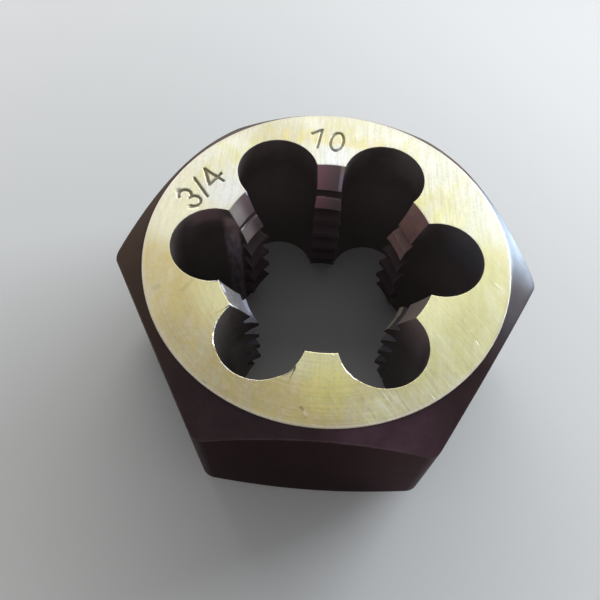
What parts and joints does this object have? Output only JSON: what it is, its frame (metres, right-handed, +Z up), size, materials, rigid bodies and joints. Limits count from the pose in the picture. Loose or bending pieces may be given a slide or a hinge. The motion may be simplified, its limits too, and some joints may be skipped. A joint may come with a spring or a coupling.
{
  "type": "hex rethreading die",
  "caption": "Hexagonal steel rethreading die with a through thread cut into narrow lands by round chip flutes, a tapered lead at each end and wrench flats outside.",
  "frame": {"origin": "centre of the bottom face, on the thread axis", "axes": "+Z up the thread axis towards the starting face with the size numerals; the hexagon's corners lie on +X and -X and its flats face +Y and -Y"},
  "size_m": [0.0418, 0.0364, 0.0191],
  "materials": {
    "tool_steel": "black oxide outside and in the flutes, ground bright on both end faces"
  },
  "bodies": {
    "root": {"die_body": "tool_steel"}
  },
  "joints": []
}
